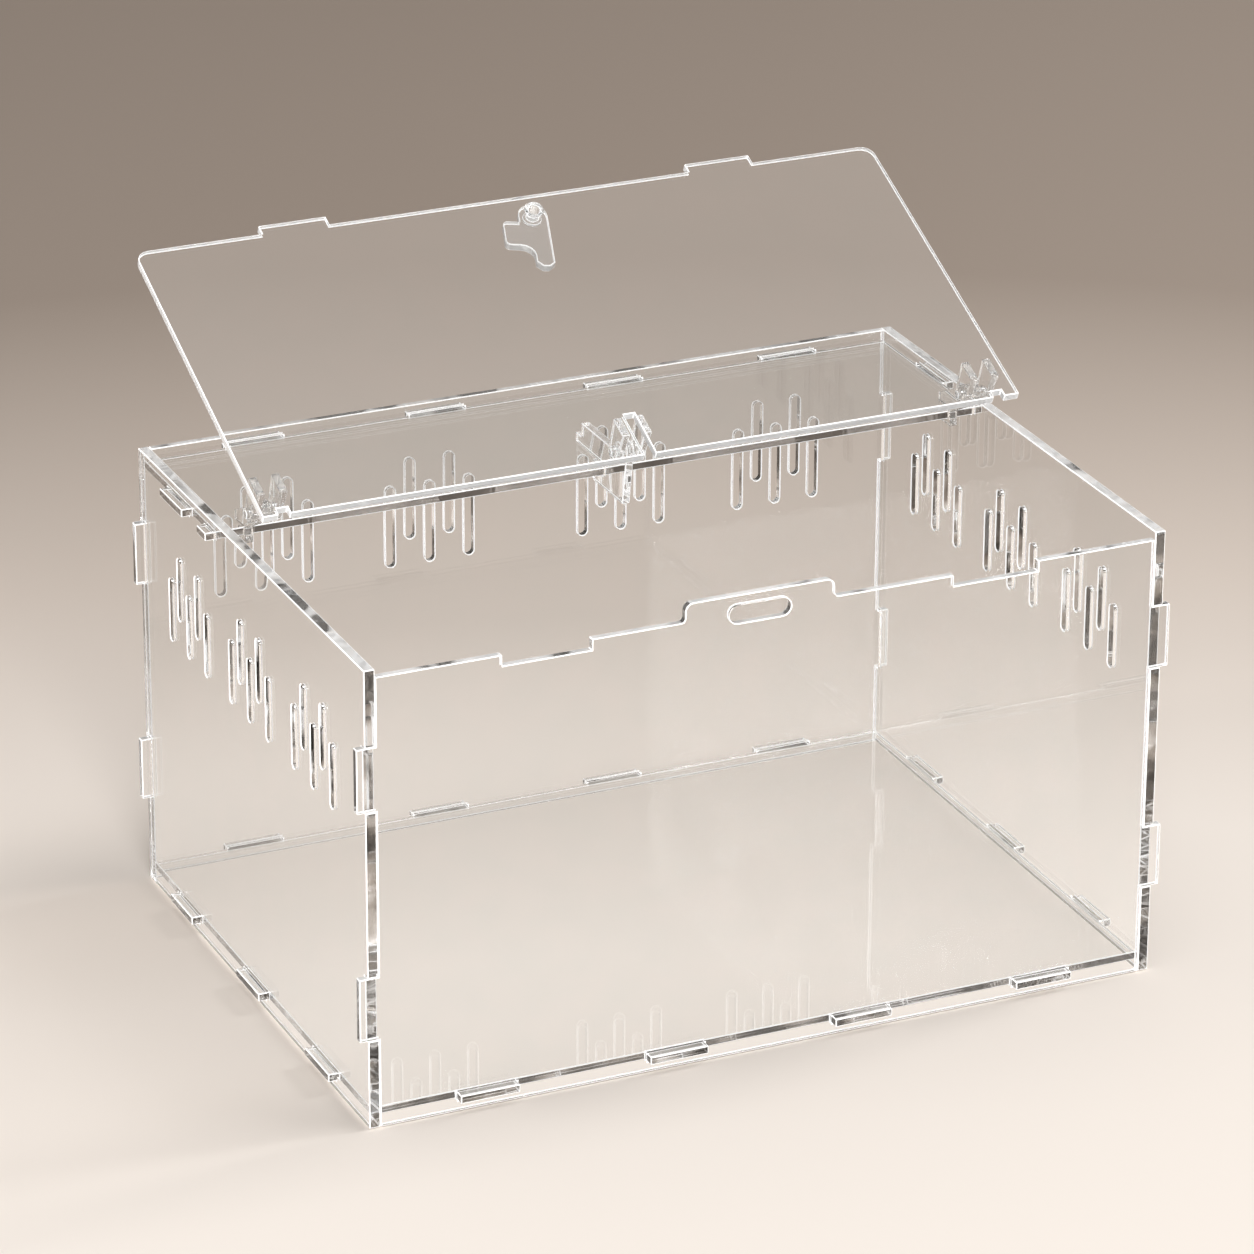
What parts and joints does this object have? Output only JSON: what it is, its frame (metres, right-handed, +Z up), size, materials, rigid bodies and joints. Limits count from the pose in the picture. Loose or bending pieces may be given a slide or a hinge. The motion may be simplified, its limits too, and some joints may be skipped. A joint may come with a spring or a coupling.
{
  "type": "insect terrarium box",
  "caption": "Clear acrylic flat-pack insect box with tabbed panels, staggered vent slots, a fixed rear top strip and a latching lid on pinned hinges, standing open.",
  "frame": {"origin": "on the floor, under the middle of the bounding box, lid open", "axes": "+X to the right along the front, +Y to the rear, +Z up"},
  "size_m": [0.306, 0.2332, 0.2419],
  "materials": {
    "clear_acrylic": "clear polished sheet",
    "clear_rod": "clear polished rod"
  },
  "bodies": {
    "box": {"left_panel": "clear_acrylic", "right_panel": "clear_acrylic", "front_panel": "clear_acrylic", "rear_panel": "clear_acrylic", "base_panel": "clear_acrylic", "top_strip": "clear_acrylic", "hinge_bracket_left": "clear_acrylic", "hinge_bracket_centre": "clear_acrylic", "hinge_bracket_right": "clear_acrylic", "hinge_pin_left": "clear_rod", "hinge_pin_centre": "clear_rod", "hinge_pin_right": "clear_rod"},
    "lid": {"lid_panel": "clear_acrylic", "hinge_lug_left_left": "clear_acrylic", "hinge_lug_left_right": "clear_acrylic", "hinge_lug_centre_left": "clear_acrylic", "hinge_lug_centre_right": "clear_acrylic", "hinge_lug_right_left": "clear_acrylic", "hinge_lug_right_right": "clear_acrylic", "latch_rivet": "clear_rod"},
    "latch": {"latch": "clear_acrylic"}
  },
  "joints": [
    {"name": "lid_hinge", "type": "hinge", "parent": "box", "child": "lid", "pos_m": [0, 0.00925, 0.1782], "axis": [1, 0, 0], "range_deg": [-33, 156]},
    {"name": "latch_swivel", "type": "hinge", "parent": "lid", "child": "latch", "pos_m": [0.0055, 0.10513, 0.2338], "axis": [0, 0.4067, -0.9135], "range_deg": [-45, 75]}
  ]
}
